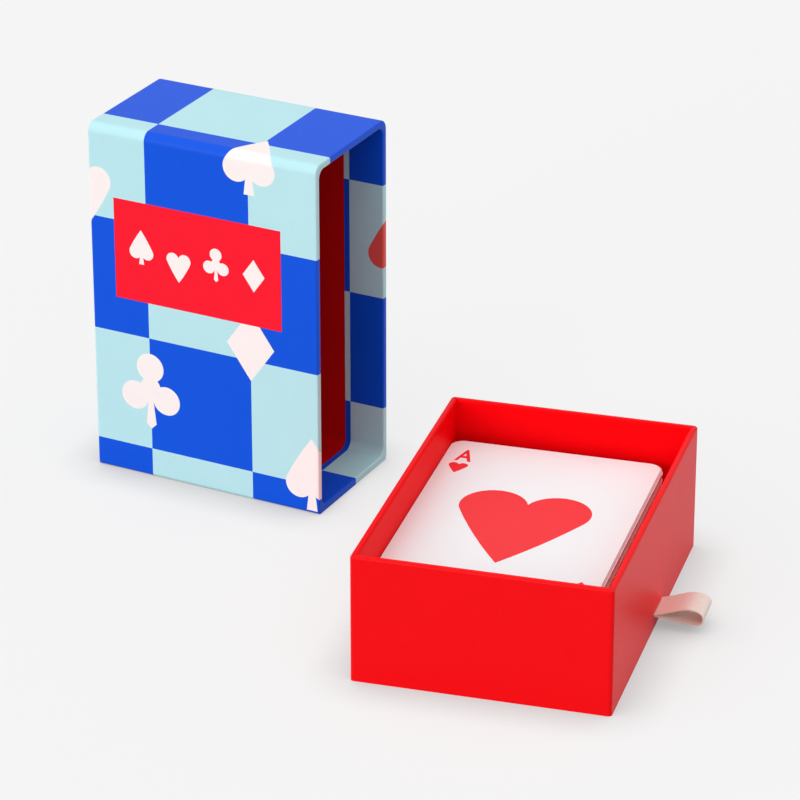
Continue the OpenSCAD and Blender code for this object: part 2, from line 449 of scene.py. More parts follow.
def half_outline(suit):
    """The right half of a suit sign, from its top to its foot."""
    if suit == "hearts":
        return arc(LOBE, heart_notch, heart_touch, 18) + arc(heart_side, heart_touch, HEART_TIP, 6)[1:]
    if suit == "spades":
        side = arc(flipped(heart_side), flipped(HEART_TIP), flipped(heart_touch), 6)
        return side + arc(LOBE, flipped(heart_touch), spade_neck, 16)[1:] + [STEM_FOOT]
    if suit == "clubs":
        top = arc(CLUB_TOP, CLUB_TOP + Vector((0, 1)), club_crook, 12)
        cheek = arc(CLUB_HUB, club_crook, club_cheek, 3)[1:]
        lobe = arc(CLUB_LOBE, club_cheek, club_neck, 20)[1:]
        return top + cheek + lobe + [CLUB_FOOT, Vector((0, CLUB_TIP))]
    return [Vector((0, DIAMOND_TIP)), Vector((1, 0)), Vector((0, -DIAMOND_TIP))]


def whole_outline(half):
    """A closed outline, counterclockwise, from its right half."""
    left = [Vector((-point.x, point.y)) for point in half if point.x > TINY]
    return left + half[::-1]


# Node groups that several materials share

FIBRE = 0.35 * MM
CLOUD = 7 * MM
FIBRE_HEIGHT = 0.05 * MM
FIBRE_RANGE = (0.3, 0.7)


def heart_mask(graph, x, y):
    """A mask of a heart, from the distance to its axis and the height above its lobes' middles."""
    lobe = graph.disc(x, y, LOBE, 1)
    side = graph.disc(x, y, heart_side, HEART_SIDE_RADIUS)
    lean = heart_touch - LOBE
    across = graph.math("MULTIPLY", graph.math("SUBTRACT", x, LOBE.x), lean.y)
    under = graph.math("LESS_THAN", graph.math("MULTIPLY", y, lean.x), across)
    low = graph.math("LESS_THAN", y, heart_notch.y)
    return graph.largest(lobe, graph.smallest(side, under, low))


def stem_mask(graph, x, y, neck, foot):
    """A mask of a stem that widens from its neck to its foot, and reaches up between the lobes."""
    widening = (foot.x - neck.x) / (neck.y - foot.y)
    width = graph.math("MULTIPLY_ADD", graph.math("SUBTRACT", neck.y, y), widening, neck.x)
    return graph.smallest(
        graph.math("LESS_THAN", x, width),
        graph.math("LESS_THAN", y, 0.0),
        graph.math("GREATER_THAN", y, foot.y),
    )


def suit_group(suit):
    """The group that puts out a mask of one suit sign, with its lobes 1 wide."""
    group, graph, given, result = new_group(suit + "_sign", {"Place": "Vector"}, {"Mask": "Float"})
    axes = graph.split(given["Place"])
    x, y = graph.math("ABSOLUTE", axes[X]), axes[Y]
    if suit == "hearts":
        mask = heart_mask(graph, x, y)
    elif suit == "spades":
        over = graph.math("MULTIPLY", y, -1.0)
        mask = graph.largest(heart_mask(graph, x, over), stem_mask(graph, x, y, spade_neck, STEM_FOOT))
    elif suit == "clubs":
        tip_slope = CLUB_FOOT.x / (CLUB_FOOT.y - CLUB_TIP)
        tip_width = graph.math("MULTIPLY", graph.math("SUBTRACT", y, CLUB_TIP), tip_slope)
        tip = graph.smallest(
            graph.math("LESS_THAN", x, tip_width), graph.math("LESS_THAN", y, CLUB_FOOT.y + 0.01)
        )
        mask = graph.largest(
            graph.disc(x, y, CLUB_TOP, 1),
            graph.disc(x, y, CLUB_LOBE, 1),
            graph.disc(x, y, CLUB_HUB, CLUB_HUB_RADIUS),
            stem_mask(graph, x, y, club_neck, CLUB_FOOT),
            tip,
        )
    else:
        rise = graph.math("DIVIDE", graph.math("ABSOLUTE", y), DIAMOND_TIP)
        mask = graph.math("LESS_THAN", graph.math("ADD", x, rise), 1.0)
    graph.feed(result["Mask"], mask)
    return group


def check_group():
    """The group that puts out a mask of the pale checks, from a place counted in checks."""
    group, graph, given, result = new_group("checks", {"Place": "Vector"}, {"Mask": "Float"})
    axes = graph.split(given["Place"])
    total = graph.math("ADD", graph.math("FLOOR", axes[X]), graph.math("FLOOR", axes[Y]))
    graph.feed(result["Mask"], graph.math("FLOORED_MODULO", total, 2.0))
    return group


def grain_group():
    """The group that puts out a paper's fibres: a shade to multiply its colour by, and a height."""
    group, graph, given, result = new_group(
        "paper_grain",
        {"Place": "Vector", "Contrast": "Float"},
        {"Shade": "Float", "Height": "Float"},
    )
    fibre = graph.noise(given["Place"], FIBRE, 3)
    cloud = graph.noise(given["Place"], CLOUD, 2)
    both = graph.math("ADD", graph.math("MULTIPLY", fibre, 0.6), graph.math("MULTIPLY", cloud, 0.4))
    swing = graph.math("MULTIPLY", graph.math("SUBTRACT", both, 0.5), given["Contrast"])
    graph.feed(result["Shade"], graph.math("ADD", swing, 1.0))
    graph.feed(result["Height"], fibre)
    return group


groups = {}


def shared(name, make, *values):
    """A node group that is made the first time it is asked for."""
    if name not in groups:
        groups[name] = make(*values)
    return groups[name]


def finish_paper(graph, shader, colours, contrast, bump, roughness=None, height=FIBRE_HEIGHT):
    """Gives a paper its colours, with the shade, the relief and the range of roughness of its fibres."""
    grain = graph.use(shared("grain", grain_group), Place=object_place(graph), Contrast=contrast)
    graph.feed(shader["Base Color"], graph.scaled(colours, grain["Shade"]))
    if roughness:
        graph.feed(shader["Roughness"], graph.ranged(grain["Height"], *FIBRE_RANGE, *roughness))
    raise_grain(graph, shader, grain["Height"], bump, height)


# The sleeve's print, laid out on the unrolled paper

FIRST_COLUMN = 17.4 * MM
FIRST_ROW = 8.5 * MM
FOOT_ROW = 21.2 * MM
BACK_ROW = 16.0 * MM
BACK_ROWS_UP = 9
LABEL_LOW = Vector((7.4, 52.0)) * MM
LABEL_HIGH = Vector((58.5, 81.0)) * MM
LABEL_SIGN = 1.9 * MM
LABEL_STEP = 11.5 * MM


def back_start(look):
    """How far up the unrolled print the foot of the back is."""
    return FIRST_ROW + BACK_ROWS_UP * look.check_h - BACK_ROW


def front_signs(look):
    """The white signs: suit, place on the print, radius of a lobe."""
    back = back_start(look)
    return (
        ("hearts", (-1.1 * MM, 85.0 * MM), 4.0 * MM),
        ("spades", (49.2 * MM, 96.7 * MM), 4.0 * MM),
        ("diamonds", (48.9 * MM, 45.8 * MM), 7.25 * MM),
        ("clubs", (17.4 * MM, 23.8 * MM), 4.2 * MM),
        ("spades", (67.2 * MM, 8.3 * MM), 4.1 * MM),
        ("clubs", (-20.5 * MM, 33.0 * MM), 4.1 * MM),
        ("diamonds", (17.4 * MM, back + 66.0 * MM), 7.25 * MM),
        ("hearts", (48.9 * MM, back + 26.0 * MM), 4.0 * MM),
    )


def back_signs(look):
    """The coral signs on the back."""
    back = back_start(look)
    return (
        ("spades", (sleeve_w - 2.4 * MM, back + 62.0 * MM), 4.0 * MM),
        ("clubs", (17.4 * MM, back + 20.0 * MM), 4.1 * MM),
        ("hearts", (38.0 * MM, back + 86.0 * MM), 4.0 * MM),
    )


def sign_mask(graph, place, suit, centre, radius):
    """A mask of one suit sign on a flat place."""
    moved = graph.vector("SUBTRACT", place, (*centre, 0))
    return graph.use(shared(suit, suit_group, suit), Place=graph.scaled(moved, 1 / radius))["Mask"]


def check_mask(graph, place, look):
    """A mask of the pale checks on the print."""
    moved = graph.vector("SUBTRACT", place, (FIRST_COLUMN, FIRST_ROW, 0))
    counted = graph.vector("DIVIDE", moved, (look.check_w, look.check_h, 1))
    return graph.use(shared("checks", check_group), Place=counted)["Mask"]


def label_mask(graph, place):
    """A mask of the label's rectangle."""
    middle = (LABEL_LOW + LABEL_HIGH) / 2
    half = (LABEL_HIGH - LABEL_LOW) / 2
    axes = graph.split(graph.vector("ABSOLUTE", graph.vector("SUBTRACT", place, (*middle, 0))))
    return graph.smallest(
        graph.math("LESS_THAN", axes[X], half.x), graph.math("LESS_THAN", axes[Y], half.y)
    )


def printed_paper(look):
    """Matt laminated paper with checks, suit signs and a label."""
    material, graph, shader = new_material("printed_wrap", roughness=0.42, specular=0.15)
    place = surface_place(graph, "print")
    colours = graph.mix(check_mask(graph, place, look), look.blue, look.teal)
    white = graph.largest(*(sign_mask(graph, place, *sign) for sign in front_signs(look)))
    coral = graph.largest(*(sign_mask(graph, place, *sign) for sign in back_signs(look)))
    middle = (LABEL_LOW + LABEL_HIGH) / 2
    row = [
        sign_mask(graph, place, suit, (middle.x + (step - 1.5) * LABEL_STEP, middle.y), LABEL_SIGN * size)
        for step, (suit, size) in enumerate(
            (("spades", 1.0), ("hearts", 1.0), ("clubs", 0.95), ("diamonds", 1.75))
        )
    ]
    colours = graph.mix(white, colours, look.white)
    colours = graph.mix(coral, colours, look.coral)
    colours = graph.mix(label_mask(graph, place), colours, look.red)
    colours = graph.mix(graph.largest(*row), colours, look.white)
    finish_paper(graph, shader, colours, contrast=0.10, bump=0.06, roughness=(0.36, 0.5))
    return material


def plain_paper(name, tint, roughness, specular, contrast):
    """Paper or board of one colour, with fibres."""
    material, graph, shader = new_material(name, roughness, specular)
    spread = (roughness - 0.06, roughness + 0.06)
    finish_paper(graph, shader, tint, contrast, bump=0.10, roughness=spread)
    return material


# Modelling steps

def begin():
    """Leaves edit mode with nothing selected."""
    if bpy.context.mode != "OBJECT":
        bpy.ops.object.mode_set(mode="OBJECT")
    bpy.ops.object.select_all(action="DESELECT")


def add_cube(low, high):
    """Adds a cube between two corners, in whatever mode is on."""
    bpy.ops.mesh.primitive_cube_add(size=1, location=(low + high) / 2, scale=high - low)


def start_block(name, low, high):
    """Starts a piece as a block between two corners, in edit mode."""
    begin()
    add_cube(low, high)
    block = bpy.context.active_object
    block.name = name
    block.data.name = name
    bpy.ops.object.transform_apply(location=True, rotation=True, scale=True)
    bpy.ops.object.mode_set(mode="EDIT")
    return block


def pick(kind, test):
    """Selects the faces or edges of the piece in edit mode that pass a test, and nothing else."""
    bpy.ops.mesh.select_mode(type=kind)
    bpy.ops.mesh.select_all(action="DESELECT")
    data = bpy.context.active_object.data
    mesh = bmesh.from_edit_mesh(data)
    mesh.normal_update()
    parts = {"EDGE": mesh.edges, "FACE": mesh.faces}[kind]
    found = [part for part in parts if test(part)]
    if not found:
        raise RuntimeError(f"{bpy.context.active_object.name}: no {kind.lower()} to select")
    for part in found:
        part.select_set(True)
    mesh.select_flush_mode()
    bmesh.update_edit_mesh(data)


def runs_along(axis, **at):
    """A test for edges along an axis, with ends at some x, y or z."""
    def test(edge):
        start, end = (vertex.co for vertex in edge.verts)
        straight = abs((end - start).normalized()[axis]) > ALIGNED
        return straight and all(abs(getattr(start, name) - value) < NEAR for name, value in at.items())
    return test


def lies_in(**at):
    """A test for edges whose two ends lie in a plane."""
    def test(edge):
        return all(
            abs(getattr(vertex.co, name) - value) < NEAR
            for vertex in edge.verts
            for name, value in at.items()
        )
    return test


def faces_way(way, **at):
    """A test for faces that point one way, with their middles at some x, y or z."""
    way = Vector(way)

    def test(face):
        middle = face.calc_center_median()
        return face.normal.dot(way) > ALIGNED and all(
            abs(getattr(middle, name) - value) < NEAR for name, value in at.items()
        )
    return test


def either(*tests):
    """A test that passes what one of some tests passes."""
    return lambda part: any(test(part) for test in tests)


def meets(first, second):
    """A test for edges between a face that passes one test and a face that passes another."""
    def test(edge):
        pair = list(edge.link_faces)
        return len(pair) == 2 and any(first(a) and second(b) for a, b in (pair, pair[::-1]))
    return test


def round_off(test, radius, steps):
    """Rounds the edges that pass a test."""
    pick("EDGE", test)
    bpy.ops.mesh.bevel(offset=radius, offset_type="OFFSET", segments=steps, profile=0.5, affect="EDGES")


def remove_faces(test):
    """Takes out the faces that pass a test."""
    pick("FACE", test)
    bpy.ops.mesh.delete(type="ONLY_FACE")


def turn_inwards(low, high):
    """Turns the faces of a block that was added to a piece, so that they face the hollow."""
    def within(face):
        middle = face.calc_center_median()
        return all(low[i] - NEAR < middle[i] < high[i] + NEAR for i in (X, Y, Z))

    pick("FACE", within)
    bpy.ops.mesh.flip_normals()


def close_normals():
    """Points all faces outwards."""
    bpy.ops.mesh.select_all(action="SELECT")
    bpy.ops.mesh.normals_make_consistent(inside=False)


def use_modifier(piece, kind, **settings):
    """Adds a modifier to a piece and applies it."""
    modifier = piece.modifiers.new(kind.title(), kind)
    for name, value in settings.items():
        setattr(modifier, name, value)
    bpy.ops.object.modifier_apply(modifier=modifier.name)


def thicken(piece, thickness):
    """Leaves edit mode and gives a skin its thickness, under the side that shows."""
    bpy.ops.object.mode_set(mode="OBJECT")
    use_modifier(piece, "SOLIDIFY", thickness=thickness, offset=-1, use_even_offset=True)


def smooth(piece):
    """Shades the folds smoothly and keeps the flats flat."""
    begin()
    bpy.context.view_layer.objects.active = piece
    piece.select_set(True)
    bpy.ops.object.shade_smooth_by_angle(angle=SMOOTH_ANGLE)
    use_modifier(piece, "WEIGHTED_NORMAL", mode="FACE_AREA", weight=100, keep_sharp=True)


def map_flat(piece, name, flatten):
    """Gives a piece a flat map, from each corner's place and its face."""
    layer = piece.data.uv_layers.new(name=name)
    for face in piece.data.polygons:
        for corner in face.loop_indices:
            point = piece.data.vertices[piece.data.loops[corner].vertex_index].co
            layer.data[corner].uv = flatten(point, face)


def hand_over(piece, body, slot, material, *nodes):
    """Gives a finished piece its material and its place in the frame."""
    piece.data.materials.clear()
    piece.data.materials.append(material)
    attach(piece, body)
    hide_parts(*nodes)


def dress(node, material):
    """Gives a CAD node a material."""
    data = frame["nodes"][node].data
    data.materials.clear()
    data.materials.append(material)


# The sleeve

def is_outside(point, normal):
    """Whether a place on the sleeve's paper is on its outside."""
    return abs(normal.x) < TILTED and point.y * normal.y + (point.z - sleeve_h / 2) * normal.z > 0


def outward_in_section(face):
    """A test for faces of the sleeve that point away from the middle of its section."""
    return is_outside(face.calc_center_median(), face.normal)


def inward_in_section(face):
    """A test for faces of the sleeve that point into its hollow."""
    return abs(face.normal.x) < TILTED and not outward_in_section(face)


def wall_of(middle, normal):
    """The wall of the sleeve that a face of its paper belongs to."""
    if is_outside(middle, normal):
        return "back" if normal.y > 0.99 else "foot" if normal.z < -0.7 else "front"
    gap = {
        "front": middle.y - sleeve_low.y,
        "back": sleeve_high.y - middle.y,
        "top": sleeve_high.z - middle.z,
        "foot": middle.z,
    }
    return min(gap, key=gap.get)


def unroll(point, middle, normal, look):
    """A corner of a face of the sleeve's paper on the flat print: along the sleeve, and up round it."""
    radius = look.top_radius
    behind = point.y - sleeve_low.y
    if normal.x < -TILTED:
        return -behind, point.z
    wall = wall_of(middle, normal)
    if wall == "back":
        up = back_start(look) + point.z
    elif wall == "foot":
        up = FIRST_ROW - behind + FOOT_ROW - look.check_h
    elif wall == "front" and point.z <= sleeve_h - radius:
        up = point.z
    elif behind < radius:
        up = sleeve_h - radius + radius * math.atan2(point.z - sleeve_h + radius, radius - behind)
    else:
        up = sleeve_h - radius + radius * math.pi / 2 + behind - radius
    depth = sleeve_high.x - point.x
    if is_outside(middle, normal):
        return sleeve_w - depth, up
    rim = depth < look.fold_radius
    across = {"front": behind, "back": sleeve_d - behind, "top": sleeve_h - point.z, "foot": point.z}[wall]
    return sleeve_w + (min(across, look.fold_take) if rim else look.fold_take) + depth, up


class DECK_OT_sleeve_wrap(bpy.types.Operator):
    """Folds the printed paper round the sleeve's boards and in at the mouth."""

    bl_idname = "deck.sleeve_wrap"
    bl_label = "Sleeve wrap"

    def execute(self, context):
        look = context.scene.deck_sleeve
        wrap = start_block("sleeve_printed_paper", sleeve_low, sleeve_high)
        round_off(runs_along(X, z=sleeve_high.z), look.top_radius, CORNER_STEPS)
        round_off(runs_along(X, z=sleeve_low.z), look.foot_radius, CORNER_STEPS)
        round_off(lies_in(x=sleeve_low.x), look.fold_radius, FOLD_STEPS)
        remove_faces(faces_way((1, 0, 0), x=sleeve_high.x))

        inner = Vector((0, sleeve_wall, sleeve_wall))
        collar_low = Vector((sleeve_high.x - turn_in, sleeve_low.y, 0)) + inner
        collar_high = sleeve_high - inner
        add_cube(collar_low, collar_high)
        round_off(
            either(runs_along(X, y=collar_low.y), runs_along(X, y=collar_high.y)),
            look.inner_radius, CORNER_STEPS,
        )
        remove_faces(either(faces_way((1, 0, 0)), faces_way((-1, 0, 0), x=collar_low.x)))
        turn_inwards(collar_low, collar_high)
        pick("EDGE", lies_in(x=sleeve_high.x))
        bpy.ops.mesh.bridge_edge_loops()

        rim = faces_way((1, 0, 0), x=sleeve_high.x)
        round_off(
            either(meets(rim, outward_in_section), meets(rim, inward_in_section)),
            look.fold_radius, FOLD_STEPS,
        )
        bpy.ops.mesh.select_all(action="SELECT")
        bpy.ops.mesh.bisect(plane_co=(0, 0, paper), plane_no=(0, 0, 1), clear_inner=True)
        thicken(wrap, paper)
        map_flat(wrap, "print", lambda point, face: unroll(point, face.center, face.normal, look))
        smooth(wrap)
        hand_over(wrap, "sleeve", "printed_wrap", printed_paper(look), "sleeve_wrap")
        return {"FINISHED"}


class DECK_OT_sleeve_lining(bpy.types.Operator):
    """Papers the inside of the sleeve, with soft inner corners."""

    bl_idname = "deck.sleeve_lining"
    bl_label = "Sleeve lining"

    def execute(self, context):
        look = context.scene.deck_sleeve
        inner = Vector((sleeve_wall, sleeve_wall, sleeve_wall))
        low = sleeve_low + inner
        high = Vector((lining_high.x, sleeve_high.y - sleeve_wall, sleeve_high.z - sleeve_wall))
        lining = start_block("sleeve_red_paper", low, high)
        remove_faces(faces_way((1, 0, 0)))
        round_off(
            either(runs_along(X, y=low.y), runs_along(X, y=high.y)), look.inner_radius, CORNER_STEPS
        )
        round_off(lies_in(x=low.x), look.inner_radius, CORNER_STEPS)
        bpy.ops.mesh.select_all(action="SELECT")
        bpy.ops.mesh.flip_normals()
        thicken(lining, paper)
        smooth(lining)
        finish = plain_paper("red_lining", look.lining, roughness=0.6, specular=0.1, contrast=0.16)
        hand_over(lining, "sleeve", "red_lining", finish, "sleeve_lining")
        return {"FINISHED"}


class DECK_OT_boards(bpy.types.Operator):
    """Gives the boards, the foot sheets, the liner and the ribbon's tail their finishes."""

    bl_idname = "deck.boards"
    bl_label = "Boards and sheets"

    def execute(self, context):
        sleeve = context.scene.deck_sleeve
        tray = context.scene.deck_tray
        finishes = {
            "greyboard": plain_paper(
                "greyboard", sleeve.board, roughness=0.85, specular=0.2, contrast=0.35
            ),
            "grey_liner": plain_paper(
                "grey_liner", tray.liner, roughness=0.8, specular=0.2, contrast=0.3
            ),
            "red_wrap": plain_paper(
                "red_foot_sheet", tray.red, roughness=0.5, specular=0.15, contrast=0.12
            ),
            "satin_ribbon": satin(context.scene.deck_ribbon),
            "printed_wrap": self.foot_print(sleeve),
        }
        replaced = ("sleeve_wrap", "sleeve_lining", "tray_wrap", "pull_ribbon")
        for part in frame["record"]["subparts"]:
            if part["material_slot"] in finishes and part["node"] not in replaced:
                dress(part["node"], finishes[part["material_slot"]])
        return {"FINISHED"}

    def foot_print(self, look):
        material, graph, shader = new_material("printed_foot", roughness=0.45, specular=0.3)
        axes = graph.split(object_place(graph))
        flat = graph.add("ShaderNodeCombineXYZ")
        graph.feed(flat.inputs[X], graph.math("SUBTRACT", axes[X], sleeve_low.x))
        foot_line = FIRST_ROW + FOOT_ROW - look.check_h + sleeve_low.y
        graph.feed(flat.inputs[Y], graph.math("SUBTRACT", foot_line, axes[Y]))
        colours = graph.mix(check_mask(graph, flat.outputs[0], look), look.blue, look.teal)
        finish_paper(graph, shader, colours, contrast=0.1, bump=0.06)
        return material


# The tray

def outward_in_plan(face):
    """A test for upright faces of the tray that point away from its middle."""
    middle = face.calc_center_median()
    return abs(face.normal.z) < TILTED and middle.x * face.normal.x + middle.y * face.normal.y > 0


def inward_in_plan(face):
    """A test for upright faces of the tray that point into it."""
    return abs(face.normal.z) < TILTED and not outward_in_plan(face)


class DECK_OT_tray_wrap(bpy.types.Operator):
    """Folds the red paper round the tray's walls, with mitred corners and the ribbon's slit."""

    bl_idname = "deck.tray_wrap"
    bl_label = "Tray wrap"

    def execute(self, context):
        look = context.scene.deck_tray
        wrap = start_block("tray_red_paper", tray_low, tray_high)
        round_off(runs_along(Z), look.corner_radius, CORNER_STEPS)
        remove_faces(either(faces_way((0, 0, 1)), faces_way((0, 0, -1))))
        well_low = liner_low
        well_high = Vector((liner_high.x, liner_high.y, tray_high.z))
        add_cube(well_low, well_high)
        round_off(
            either(runs_along(Z, x=well_low.x), runs_along(Z, x=well_high.x)),
            look.inner_radius, CORNER_STEPS,
        )
        remove_faces(either(faces_way((0, 0, 1)), faces_way((0, 0, -1))))
        turn_inwards(well_low, well_high)
        pick("EDGE", lies_in(z=tray_high.z))
        bpy.ops.mesh.bridge_edge_loops()

        rim = faces_way((0, 0, 1))
        outer, inner = meets(rim, outward_in_plan), meets(rim, inward_in_plan)
        round_off(outer, look.rim_radius, FOLD_STEPS)
        round_off(inner, look.rim_inner_radius, FOLD_STEPS)
        self.cut_slit()
        thicken(wrap, paper)
        smooth(wrap)
        wrap.data.transform(tray_place)
        hand_over(wrap, "tray", "red_wrap", red_paper(look), "tray_wrap")
        return {"FINISHED"}

    def cut_slit(self):
        """Cuts the slit for the ribbon through both skins of the pull wall."""
        skins = either(faces_way((1, 0, 0), x=tray_high.x), faces_way((-1, 0, 0), x=liner_high.x))
        top = liner_low.z + tail_high.z - tail_low.z + paper / 2
        for place, way in (
            ((0, tail_low.y, 0), (0, 1, 0)),
            ((0, tail_high.y, 0), (0, 1, 0)),
            ((0, 0, top), (0, 0, 1)),
            ((0, 0, liner_low.z), (0, 0, 1)),
        ):
            pick("FACE", skins)
            bpy.ops.mesh.bisect(plane_co=place, plane_no=way)

        def in_slit(face):
            middle = face.calc_center_median()
            return skins(face) and tail_low.y < middle.y < tail_high.y and liner_low.z < middle.z < top

        remove_faces(in_slit)


def red_paper(look):
    """Satin red paper, matt in the well, with a fine dark seam across each corner of the rim."""
    material, graph, shader = new_material("red_wrap", roughness=0.4, specular=look.gloss)
    spot = object_place(graph)
    off = graph.vector("SUBTRACT", spot, tuple(mounts["tray_foot"]))
    sides = [
        graph.math("SUBTRACT", reach, graph.math("ABSOLUTE", graph.vector("DOT_PRODUCT", off, tuple(way))))
        for reach, way in ((tray_high.x, pull_way), (tray_high.y, Vector((-pull_way.y, pull_way.x, 0))))
    ]
    apart = graph.math("ABSOLUTE", graph.math("SUBTRACT", *sides))
    seam = graph.smallest(
        graph.math("LESS_THAN", apart, look.seam_width / 2),
        graph.math("LESS_THAN", sides[X], tray_wall),
        graph.math("GREATER_THAN", graph.split(spot)[Z], tray_high.z - look.rim_radius),
    )
    colours = graph.mix(seam, look.red, look.seam)
    finish_paper(graph, shader, colours, contrast=0.12, bump=0.08, roughness=(0.34, 0.46))
    depth = graph.smallest(*sides)
    gloss = graph.ranged(depth, tray_wall / 2, tray_wall, look.gloss, look.well_gloss)
    graph.feed(shader["Specular IOR Level"], gloss)
    return material


# The ribbon

def satin(look):
    """Woven satin, with fine threads across the ribbon."""
    material, graph, shader = new_material("satin_ribbon", roughness=0.45, specular=0.4)
    spot = object_place(graph)
    along = graph.vector("DOT_PRODUCT", spot, tuple(pull_way))
    beat = graph.math("SINE", graph.math("MULTIPLY", along, 2 * math.pi / look.thread))
    fuzz = graph.noise(spot, 0.5 * MM, 3)
    weave = graph.math("MULTIPLY_ADD", beat, 0.25, fuzz)
    colours = graph.mix(graph.ranged(weave, 0.1, 0.9), look.shade, look.cream)
    graph.feed(shader["Base Color"], colours)
    raise_grain(graph, shader, weave, strength=0.2, distance=FIBRE_HEIGHT)
    return material


class DECK_OT_ribbon(bpy.types.Operator):
    """Folds the ribbon into the loop that the tray is pulled by."""

    bl_idname = "deck.ribbon"
    bl_label = "Ribbon pull"

    def execute(self, context):
        thickness = (tail_high.z - tail_low.z) / 2
        root = loop_low.x + thickness / 2
        reach = loop_high.x - root - thickness / 2
        rise = loop_high.z - tail_high.z
        drop = tail_low.z - loop_low.z
        start = Vector((root, (tail_low.z + tail_high.z) / 2))
        knots = (
            ((0, thickness / 2), (0.25, 0.06)),
            ((0.66 * reach, rise), (0.16, 0.015)),
            ((reach, 0.28 * rise), (0.0, -0.12)),
            ((0.78 * reach, -drop), (-0.16, 0.0)),
            ((0, -thickness / 2), (-0.25, 0.02)),
        )
        begin()
        bpy.ops.curve.primitive_bezier_curve_add(location=(0, 0, 0))
        ribbon = bpy.context.active_object
        ribbon.name = "ribbon_satin_loop"
        curve = ribbon.data
        curve.dimensions = "2D"
        curve.fill_mode = "NONE"
        curve.extrude = (tail_high.y - tail_low.y) / 2
        curve.resolution_u = 10
        points = curve.splines[0].bezier_points
        points.add(len(knots) - len(points))
        for point, (place, pull) in zip(points, knots):
            middle = start + Vector(place)
            handle = Vector(pull) * reach
            point.handle_left_type = "FREE"
            point.handle_right_type = "FREE"
            point.co = (*middle, 0)
            point.handle_left = (*(middle - handle), 0)
            point.handle_right = (*(middle + handle), 0)
        ribbon.select_set(True)
        bpy.ops.object.convert(target="MESH")
        ribbon = bpy.context.active_object
        use_modifier(ribbon, "SOLIDIFY", thickness=thickness, offset=0, use_even_offset=True)
        upright = Matrix.Rotation(math.radians(90), 4, "X")
        middle = Matrix.Translation((0, (tail_low.y + tail_high.y) / 2, 0))
        ribbon.data.transform(tray_place @ middle @ upright)
        smooth(ribbon)
        hand_over(ribbon, "ribbon", "satin_ribbon", satin(context.scene.deck_ribbon), "pull_ribbon")
        return {"FINISHED"}


# The cards

RANKS = (
    "ace", "two", "three", "four", "five", "six", "seven",
    "eight", "nine", "ten", "jack", "queen", "king",
)
INDEX = dict(zip(RANKS, ("A", "2", "3", "4", "5", "6", "7", "8", "9", "10", "J", "Q", "K")))
INDEX_PLACE = Vector((-23.1, 35.8)) * MM
INDEX_SIZE = Vector((4.6, 6.75)) * MM
SIGN_PLACE = Vector((-23.4, 28.3)) * MM
SIDE_ROWS = {
    4: (1, -1), 5: (1, -1), 6: (1, 0, -1), 7: (1, 0, -1), 8: (1, 0, -1),
    9: (1, 1 / 3, -1 / 3, -1), 10: (1, 1 / 3, -1 / 3, -1),
}
MIDDLE_ROWS = {
    2: (1, -1), 3: (1, 0, -1), 5: (0,), 7: (0.5,), 8: (0.5, -0.5), 9: (0,), 10: (2 / 3, -2 / 3),
}
SIGN_COLUMN = 11.5 * MM
SIGN_ROW = 27.0 * MM
SIGN_LOBE = {"hearts": 2.45, "spades": 2.45, "clubs": 2.3, "diamonds": 4.3}
INDEX_SIGN_SHARE = 0.545
ACE_LOBE = {"hearts": 8.95, "spades": 8.3, "clubs": 7.6, "diamonds": 14.5}
LOBE_HEIGHT = {"hearts": 1.22, "spades": -0.8, "clubs": -0.46, "diamonds": 0.0}
ACE_DROP = {"hearts": 1.5, "spades": 0.0, "clubs": 0.0, "diamonds": 0.0}
COURT_FRAME = Vector((18.5, 33.5)) * MM
COURT_LINE = 0.35 * MM
CROWN_PLACE = Vector((0, 19)) * MM
CROWN_SIZE = Vector((9, 9)) * MM
COURT_SIGN_PLACE = Vector((0, 9)) * MM
COURT_SIGN_SHARE = 1.6
LETTER_WEIGHT = 0.022
STAR_TIPS = 5
STAR_INNER = 0.42
JOKER_STAR = Vector((17, 17)) * MM
INDEX_STAR = Vector((3, 3)) * MM
LATTICE_HALF = Vector((24.5, 40.5)) * MM
LATTICE_PITCH = 3.2 * MM
LATTICE_LINE = 0.32
STOCK, EDGE, BACK, RED_INK, BLACK_INK = range(5)


def solid_mark(name, outline, height):
    """A flat mark of ink from its outline, half sunk into the card."""
    begin()
    bpy.ops.mesh.primitive_circle_add(vertices=len(outline), fill_type="NGON")
    mark = bpy.context.active_object
    mark.name = name
    for vertex, point in zip(mark.data.vertices, outline):
        vertex.co = (point.x, point.y, -height)
    bpy.ops.object.mode_set(mode="EDIT")
    bpy.ops.mesh.select_all(action="SELECT")
    bpy.ops.mesh.extrude_region_move(TRANSFORM_OT_translate={"value": (0, 0, 2 * height)})
    close_normals()
    return take_mesh(mark)


def take_mesh(mark):
    """Takes the mesh of a mark out of the scene, to be copied onto cards."""
    begin()
    mesh = mark.data
    bpy.data.objects.remove(mark)
    return mesh


def letter_mark(text, height):
    """A letter or a figure of ink, 1 high and centred."""
    begin()
    bpy.ops.object.text_add()
    mark = bpy.context.active_object
    mark.name = "index_" + text
    mark.data.body = text
    mark.data.extrude = height
    mark.data.offset = LETTER_WEIGHT
    mark.data.resolution_u = FOLD_STEPS
    bpy.ops.object.convert(target="MESH")
    mark = bpy.context.active_object
    bpy.ops.object.mode_set(mode="EDIT")
    bpy.ops.mesh.select_all(action="SELECT")
    bpy.ops.mesh.remove_doubles(threshold=TINY)
    close_normals()
    mesh = take_mesh(mark)
    low, high = box_of([vertex.co for vertex in mesh.vertices])
    middle = (low + high) / 2
    size = high - low
    mesh.transform(Matrix.Diagonal((1 / size.x, 1 / size.y, 1, 1)) @ Matrix.Translation(-middle))
    return mesh


